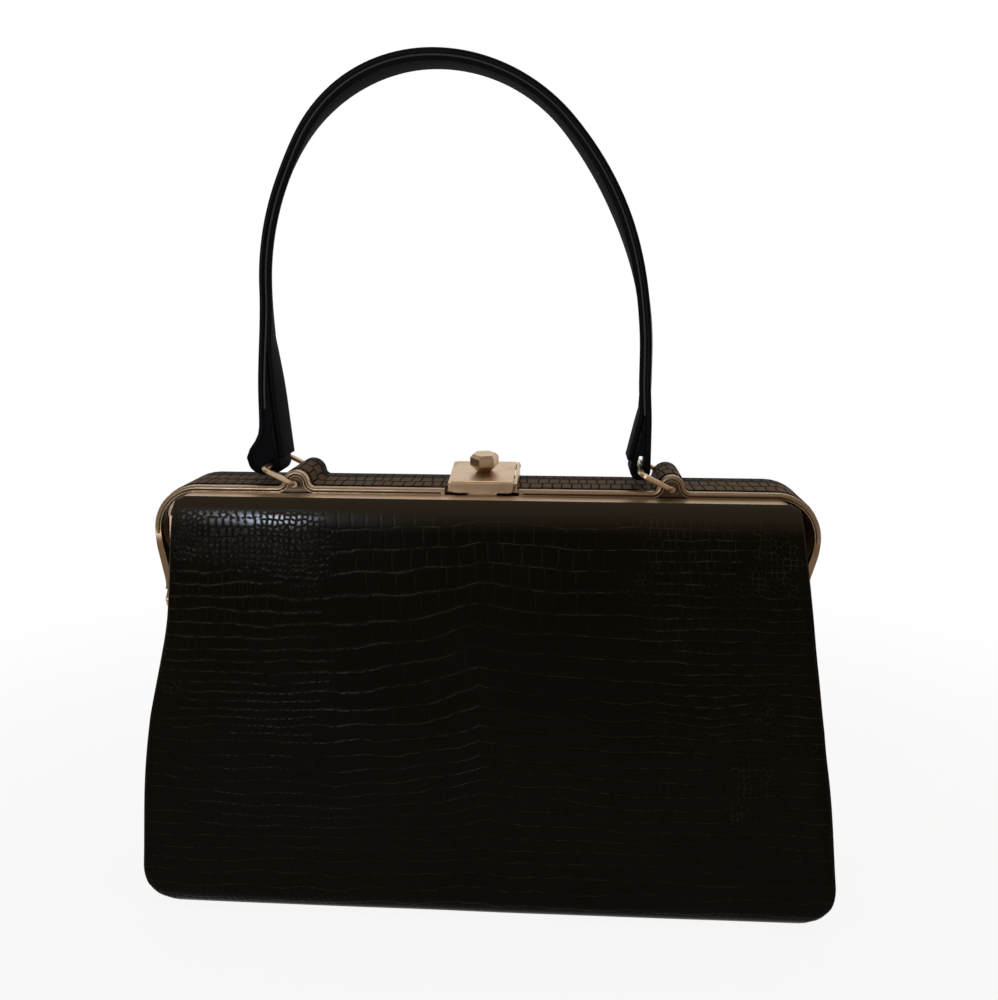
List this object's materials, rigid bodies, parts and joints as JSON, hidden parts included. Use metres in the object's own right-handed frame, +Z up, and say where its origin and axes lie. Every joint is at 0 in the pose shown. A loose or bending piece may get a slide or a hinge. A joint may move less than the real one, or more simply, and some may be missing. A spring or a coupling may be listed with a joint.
{
  "type": "frame handbag",
  "caption": "Stiff-framed evening handbag in dark embossed leather with a gold hinged frame, a lift clasp with a faceted knob, and a strap handle hung on wire rings.",
  "frame": {"origin": "middle of the flat bottom, on the floor", "axes": "+Z up, +X to the right seen from the clasp's side, -Y towards the clasp's side"},
  "size_m": [0.2922, 0.078, 0.355],
  "materials": {
    "embossed_leather": "near-black, embossed with square scales, semi-gloss",
    "gold_metal": "satin antique gold",
    "glossy_leather": "glossy black",
    "lining_cloth": "plain weave",
    "board": "matte",
    "spring_steel": "satin"
  },
  "bodies": {
    "rear_half": {"rear_frame": "gold_metal", "frame_cover": "embossed_leather", "rear_panel": "embossed_leather", "front_panel_lower": "embossed_leather", "gusset_left": "embossed_leather", "gusset_right": "embossed_leather", "bottom_panel": "embossed_leather", "bottom_board": "board", "lining": "lining_cloth", "rear_retainer": "gold_metal", "clasp_base": "gold_metal", "clasp_hinge_pin": "gold_metal", "clasp_spring": "spring_steel", "ring_tube_left": "gold_metal", "ring_tube_right": "gold_metal", "hinge_rivets": "gold_metal", "hinge_washers": "gold_metal"},
    "front_half": {"front_frame": "gold_metal", "front_panel_upper": "embossed_leather", "front_lining": "lining_cloth", "front_retainer": "gold_metal", "clasp_catch": "gold_metal", "gusset_rivets": "gold_metal"},
    "clasp_lid": {"clasp_flap": "gold_metal", "clasp_knob": "gold_metal", "knob_washer": "gold_metal"},
    "left_ring": {"ring_left": "gold_metal"},
    "right_ring": {"ring_right": "gold_metal"},
    "handle": {"handle_strap": "glossy_leather", "handle_lining": "glossy_leather", "handle_core": "glossy_leather"}
  },
  "joints": [
    {"name": "frame_hinge", "type": "hinge", "parent": "rear_half", "child": "front_half", "pos_m": [0, -0.0221, 0.133], "axis": [1, 0, 0], "range_deg": [0, 65]},
    {"name": "clasp_lift", "type": "hinge", "parent": "rear_half", "child": "clasp_lid", "pos_m": [0, 0.0195, 0.18479], "axis": [-1, 0, 0], "range_deg": [0, 45], "stiffness_Nm_per_rad": 0.02, "springref_deg": -28.65},
    {"name": "ring_left_swing", "type": "hinge", "parent": "rear_half", "child": "left_ring", "pos_m": [-0.0784, 0.0065, 0.181], "axis": [0, 1, 0], "range_deg": [0, 128]},
    {"name": "handle_swing", "type": "hinge", "parent": "left_ring", "child": "handle", "pos_m": [-0.09098, 0.0065, 0.18714], "axis": [0, 1, 0], "range_deg": [-128, 0]},
    {"name": "ring_right_swing", "type": "hinge", "parent": "rear_half", "child": "right_ring", "pos_m": [0.0784, 0.0065, 0.181], "axis": [0, 1, 0], "range_deg": [0, 128]}
  ],
  "couplings": [
    {"joint": "handle_swing", "follows": "ring_left_swing", "ratio": -1},
    {"joint": "ring_right_swing", "follows": "ring_left_swing", "ratio": 1}
  ]
}
